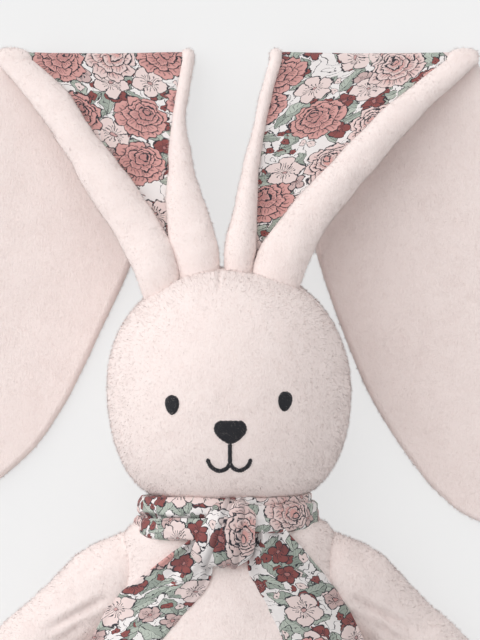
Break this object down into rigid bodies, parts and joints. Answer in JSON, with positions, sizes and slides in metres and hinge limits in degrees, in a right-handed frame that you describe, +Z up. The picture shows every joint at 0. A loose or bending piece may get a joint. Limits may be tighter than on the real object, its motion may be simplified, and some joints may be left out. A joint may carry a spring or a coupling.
{
  "type": "stuffed bunny",
  "caption": "Velour soft toy bunny lying on its back, with long folded print-lined ears, an embroidered face, jointed limbs and a tied cotton scarf.",
  "frame": {"origin": "the middle of the flat patch of the back, on the surface that the toy lies on", "axes": "+Z up through the chest and face, +Y to the crown of the head, +X to the right as seen from above with the face towards the viewer"},
  "size_m": [0.3202, 0.4506, 0.091],
  "materials": {
    "velour": "short soft pile, very pale pink",
    "ear_lining": "printed cotton, small flowers in dusty rose, brick red and sage on off-white",
    "scarf_cotton": "printed cotton, small flowers in dusty rose, brick red and sage on off-white",
    "stitching": "charcoal satin-stitch thread with a slight sheen",
    "stuffing": "white polyester fibre"
  },
  "bodies": {
    "torso": {"torso_front_panel": "velour", "torso_back_panel_left": "velour", "torso_back_panel_right": "velour", "torso_stuffing": "stuffing", "tail_cover": "velour", "tail_stuffing": "stuffing", "scarf_band": "scarf_cotton", "scarf_knot": "scarf_cotton"},
    "neck": {"neck_stuffing": "stuffing"},
    "head": {"head_front_panel": "velour", "head_back_panel_left": "velour", "head_back_panel_right": "velour", "head_stuffing": "stuffing", "eye_left": "stitching", "eye_right": "stitching", "nose": "stitching", "mouth": "stitching"},
    "ear_left_base": {"ear_left_base_shell": "velour", "ear_left_base_lining": "ear_lining"},
    "ear_left_flap": {"ear_left_flap_shell": "velour", "ear_left_flap_lining": "ear_lining"},
    "arm_left": {"arm_left_front_panel": "velour", "arm_left_back_panel": "velour", "arm_left_stuffing": "stuffing"},
    "leg_left": {"leg_left_front_panel": "velour", "leg_left_back_panel": "velour", "leg_left_stuffing": "stuffing"},
    "scarf_tail_left": {"scarf_tail_left": "scarf_cotton"},
    "ear_right_base": {"ear_right_base_shell": "velour", "ear_right_base_lining": "ear_lining"},
    "ear_right_flap": {"ear_right_flap_shell": "velour", "ear_right_flap_lining": "ear_lining"},
    "arm_right": {"arm_right_front_panel": "velour", "arm_right_back_panel": "velour", "arm_right_stuffing": "stuffing"},
    "leg_right": {"leg_right_front_panel": "velour", "leg_right_back_panel": "velour", "leg_right_stuffing": "stuffing"},
    "scarf_tail_right": {"scarf_tail_right": "scarf_cotton"}
  },
  "joints": [
    {"name": "head_nod", "type": "hinge", "parent": "torso", "child": "neck", "pos_m": [0, 0.07715, 0.068], "axis": [1, 0, 0], "range_deg": [0, 20]},
    {"name": "head_tilt", "type": "hinge", "parent": "neck", "child": "head", "pos_m": [0, 0.08, 0.044], "axis": [0, 0, 1], "range_deg": [-10, 10]},
    {"name": "ear_left_root_bend", "type": "hinge", "parent": "head", "child": "ear_left_base", "pos_m": [-0.022, 0.19246, 0.05938], "axis": [1, 0, 0], "range_deg": [0, 135]},
    {"name": "ear_left_fold_open", "type": "hinge", "parent": "ear_left_base", "child": "ear_left_flap", "pos_m": [-0.06135, 0.291, 0.00415], "axis": [1, 0, 0], "range_deg": [0, 180]},
    {"name": "arm_left_lift", "type": "hinge", "parent": "torso", "child": "arm_left", "pos_m": [-0.06, 0.044, 0.034], "axis": [0, 1, 0], "range_deg": [0, 80]},
    {"name": "leg_left_lift", "type": "hinge", "parent": "torso", "child": "leg_left", "pos_m": [-0.03, -0.0579, 0.032], "axis": [-1, 0, 0], "range_deg": [0, 80]},
    {"name": "scarf_tail_left_lift", "type": "hinge", "parent": "torso", "child": "scarf_tail_left", "pos_m": [-0.01148, 0.0575, 0.07658], "axis": [-0.7432, 0.6018, -0.2924], "range_deg": [0, 70]},
    {"name": "ear_right_root_bend", "type": "hinge", "parent": "head", "child": "ear_right_base", "pos_m": [0.0152, 0.19296, 0.05938], "axis": [1, 0, 0], "range_deg": [0, 135]},
    {"name": "ear_right_fold_open", "type": "hinge", "parent": "ear_right_base", "child": "ear_right_flap", "pos_m": [0.071, 0.291, 0.00415], "axis": [1, 0, 0], "range_deg": [0, 180]},
    {"name": "arm_right_lift", "type": "hinge", "parent": "torso", "child": "arm_right", "pos_m": [0.06, 0.044, 0.034], "axis": [0, -1, 0], "range_deg": [0, 80]},
    {"name": "leg_right_lift", "type": "hinge", "parent": "torso", "child": "leg_right", "pos_m": [0.03, -0.0579, 0.032], "axis": [-1, 0, 0], "range_deg": [0, 80]},
    {"name": "scarf_tail_right_lift", "type": "hinge", "parent": "torso", "child": "scarf_tail_right", "pos_m": [0.00583, 0.05837, 0.07784], "axis": [-0.802, -0.5208, 0.2924], "range_deg": [0, 70]}
  ]
}
